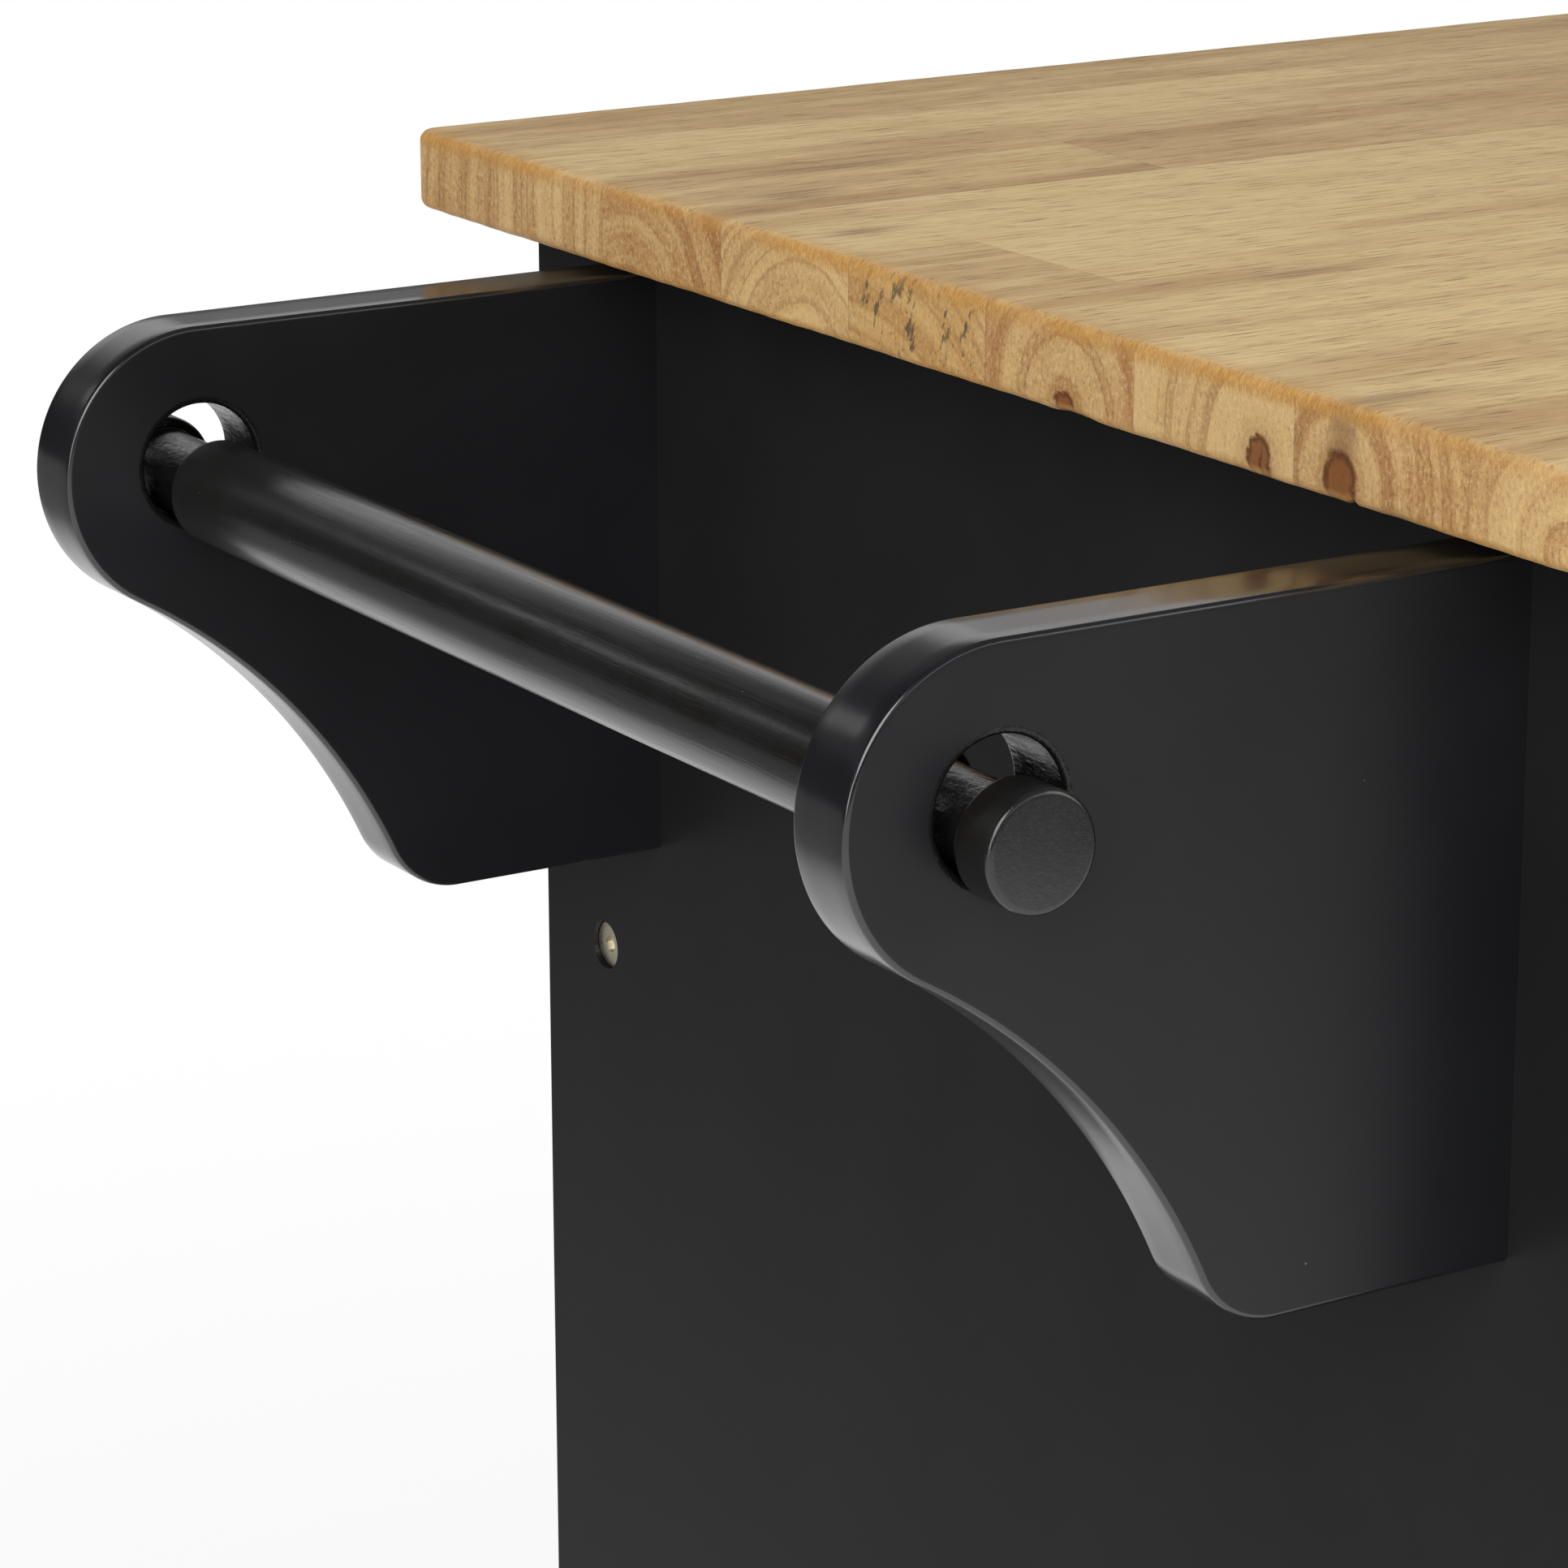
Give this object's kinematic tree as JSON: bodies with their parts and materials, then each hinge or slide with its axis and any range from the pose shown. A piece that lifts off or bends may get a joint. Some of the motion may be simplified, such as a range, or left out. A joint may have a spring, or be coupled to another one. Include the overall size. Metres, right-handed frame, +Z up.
{
  "type": "kitchen island",
  "caption": "Black kitchen island on swivel casters with a wooden worktop, drawers over framed doors and a towel bar on ogee brackets at one end.",
  "frame": {"origin": "on the floor, under the middle of the overall box", "axes": "+Z up, +X along the length away from the towel bar, +Y from the doors to the back"},
  "size_m": [1.131, 0.4786, 0.9],
  "materials": {
    "rubberwood": "oiled, edge-glued staves",
    "black_paint": "satin black paint",
    "rod_paint": "semi-gloss black paint over wood grain",
    "drawer_ply": "clear lacquered plywood",
    "zinc_steel": "zinc plated",
    "runner_steel": "white epoxy coated",
    "nickel": "brushed nickel",
    "black_plastic": "moulded",
    "wheel_rubber": "smooth tread"
  },
  "bodies": {
    "cabinet": {"assembly_bolts": "zinc_steel", "back_panel": "black_paint", "back_top_rail": "black_paint", "back_towel_bracket": "black_paint", "bottom_panel": "black_paint", "caster_plates": "zinc_steel", "divider_panel": "black_paint", "door_catches": "black_plastic", "drawer_partition": "black_paint", "drawer_runners": "runner_steel", "fixed_hinge_leaves": "nickel", "front_top_rail": "black_paint", "front_towel_bracket": "black_paint", "left_end_panel": "black_paint", "right_end_panel": "black_paint", "shelf": "black_paint", "shelf_cleats": "black_paint", "worktop": "rubberwood"},
    "left_drawer": {"left_drawer_back": "drawer_ply", "left_drawer_bottom": "drawer_ply", "left_drawer_front": "black_paint", "left_drawer_inner_side": "drawer_ply", "left_drawer_outer_side": "drawer_ply", "left_drawer_pull": "nickel", "left_drawer_slides": "runner_steel"},
    "right_drawer": {"right_drawer_back": "drawer_ply", "right_drawer_bottom": "drawer_ply", "right_drawer_front": "black_paint", "right_drawer_inner_side": "drawer_ply", "right_drawer_outer_side": "drawer_ply", "right_drawer_pull": "nickel", "right_drawer_slides": "runner_steel"},
    "left_door": {"left_door_bottom_rail": "black_paint", "left_door_hinge_leaves": "nickel", "left_door_hinge_stile": "black_paint", "left_door_lock_stile": "black_paint", "left_door_panel": "black_paint", "left_door_pull": "nickel", "left_door_top_rail": "black_paint"},
    "right_door": {"right_door_bottom_rail": "black_paint", "right_door_hinge_leaves": "nickel", "right_door_hinge_stile": "black_paint", "right_door_lock_stile": "black_paint", "right_door_panel": "black_paint", "right_door_pull": "nickel", "right_door_top_rail": "black_paint"},
    "towel_rod": {"towel_rod": "rod_paint"},
    "front_left_caster": {"front_left_fork": "zinc_steel"},
    "front_left_wheel": {"front_left_wheel": "wheel_rubber"},
    "front_left_pedal": {"front_left_brake_pedal": "black_plastic"},
    "front_right_caster": {"front_right_fork": "zinc_steel"},
    "front_right_wheel": {"front_right_wheel": "wheel_rubber"},
    "front_right_pedal": {"front_right_brake_pedal": "black_plastic"},
    "back_left_caster": {"back_left_fork": "zinc_steel"},
    "back_left_wheel": {"back_left_wheel": "wheel_rubber"},
    "back_right_caster": {"back_right_fork": "zinc_steel"},
    "back_right_wheel": {"back_right_wheel": "wheel_rubber"}
  },
  "joints": [
    {"name": "left_drawer_slide", "type": "slide", "parent": "cabinet", "child": "left_drawer", "axis": [0, -1, 0], "range_m": [0, 0.28]},
    {"name": "right_drawer_slide", "type": "slide", "parent": "cabinet", "child": "right_drawer", "axis": [0, -1, 0], "range_m": [0, 0.28]},
    {"name": "left_door_hinge", "type": "hinge", "parent": "cabinet", "child": "left_door", "pos_m": [-0.3875, -0.21815, 0.388], "axis": [0, 0, -1], "range_deg": [0, 160]},
    {"name": "right_door_hinge", "type": "hinge", "parent": "cabinet", "child": "right_door", "pos_m": [0.5185, -0.21815, 0.388], "axis": [0, 0, 1], "range_deg": [0, 160]},
    {"name": "towel_rod_spin", "type": "hinge", "parent": "cabinet", "child": "towel_rod", "pos_m": [-0.531, 0.00625, 0.8343], "axis": [0, 1, 0], "continuous": true},
    {"name": "front_left_swivel", "type": "hinge", "parent": "cabinet", "child": "front_left_caster", "pos_m": [-0.3465, -0.15375, 0.065], "axis": [0, 0, 1], "continuous": true},
    {"name": "front_left_wheel_spin", "type": "hinge", "parent": "front_left_caster", "child": "front_left_wheel", "pos_m": [-0.3465, -0.17175, 0.03], "axis": [1, 0, 0], "continuous": true},
    {"name": "front_left_brake", "type": "hinge", "parent": "front_left_caster", "child": "front_left_pedal", "pos_m": [-0.3465, -0.18375, 0.0608], "axis": [-1, 0, 0], "range_deg": [0, 18]},
    {"name": "front_right_swivel", "type": "hinge", "parent": "cabinet", "child": "front_right_caster", "pos_m": [0.4775, -0.15375, 0.065], "axis": [0, 0, 1], "continuous": true},
    {"name": "front_right_wheel_spin", "type": "hinge", "parent": "front_right_caster", "child": "front_right_wheel", "pos_m": [0.4775, -0.17175, 0.03], "axis": [1, 0, 0], "continuous": true},
    {"name": "front_right_brake", "type": "hinge", "parent": "front_right_caster", "child": "front_right_pedal", "pos_m": [0.4775, -0.18375, 0.0608], "axis": [-1, 0, 0], "range_deg": [0, 18]},
    {"name": "back_left_swivel", "type": "hinge", "parent": "cabinet", "child": "back_left_caster", "pos_m": [-0.3465, 0.16625, 0.065], "axis": [0, 0, 1], "continuous": true},
    {"name": "back_left_wheel_spin", "type": "hinge", "parent": "back_left_caster", "child": "back_left_wheel", "pos_m": [-0.3465, 0.14825, 0.03], "axis": [1, 0, 0], "continuous": true},
    {"name": "back_right_swivel", "type": "hinge", "parent": "cabinet", "child": "back_right_caster", "pos_m": [0.4775, 0.16625, 0.065], "axis": [0, 0, 1], "continuous": true},
    {"name": "back_right_wheel_spin", "type": "hinge", "parent": "back_right_caster", "child": "back_right_wheel", "pos_m": [0.4775, 0.14825, 0.03], "axis": [1, 0, 0], "continuous": true}
  ]
}
